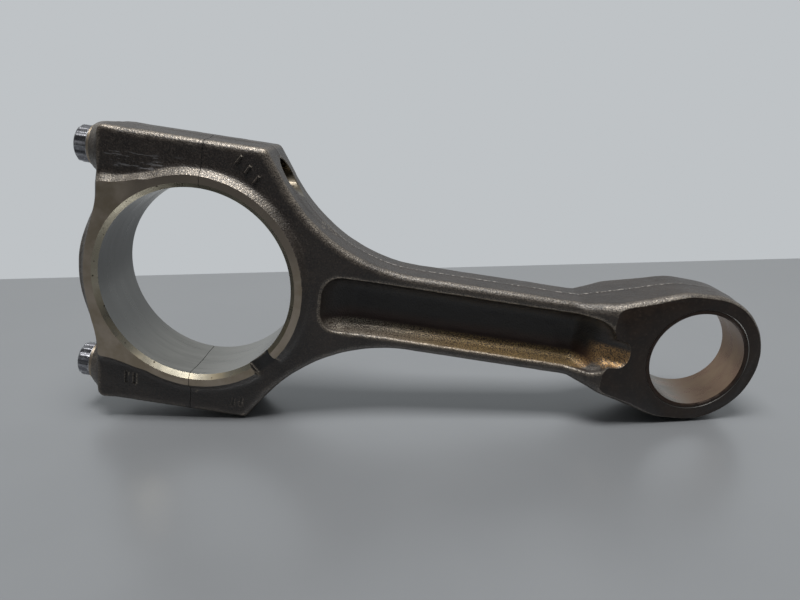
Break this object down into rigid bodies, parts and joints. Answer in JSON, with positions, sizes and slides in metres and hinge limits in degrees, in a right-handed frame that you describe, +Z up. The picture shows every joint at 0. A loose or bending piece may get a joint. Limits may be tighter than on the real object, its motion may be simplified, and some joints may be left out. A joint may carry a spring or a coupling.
{
  "type": "connecting rod",
  "caption": "I-section connecting rod with a fracture-split big end, bolted cap, tapered small end and bronze-lined bush.",
  "frame": {"origin": "middle of the base: the rod stands on its edge, on the lower bolt boss and the small end, as it rests on a bench", "axes": "+Z up; X runs from the cap bolts (-X) to the small end (+X), the rod's own axis sloping 9.14 degrees down towards +X; Y is parallel to both bores"},
  "size_m": [0.2058, 0.0264, 0.0879],
  "materials": {
    "rod_steel": "shot-blasted forged steel with an oily brown-black skin, machined faces varnished brown",
    "cap_steel": "shot-blasted forged steel with an oily brown-black skin, machined faces varnished brown",
    "bolt_steel": "phosphated high-tensile steel, worn bright on the head",
    "bush_bronze": "fine-bored bronze lining on a steel back"
  },
  "bodies": {
    "rod": {"rod_forging": "rod_steel", "small_end_bush": "bush_bronze"},
    "cap": {"big_end_cap": "cap_steel"},
    "upper_bolt": {"upper_cap_bolt": "bolt_steel"},
    "lower_bolt": {"lower_cap_bolt": "bolt_steel"}
  },
  "joints": [
    {"name": "cap_removal", "type": "slide", "parent": "rod", "child": "cap", "axis": [-0.9873, 0, 0.1588], "range_m": [0, 0.04]},
    {"name": "upper_bolt_removal", "type": "slide", "parent": "cap", "child": "upper_bolt", "axis": [-0.9873, 0, 0.1588], "range_m": [0, 0.05]},
    {"name": "lower_bolt_removal", "type": "slide", "parent": "cap", "child": "lower_bolt", "axis": [-0.9873, 0, 0.1588], "range_m": [0, 0.05]}
  ]
}
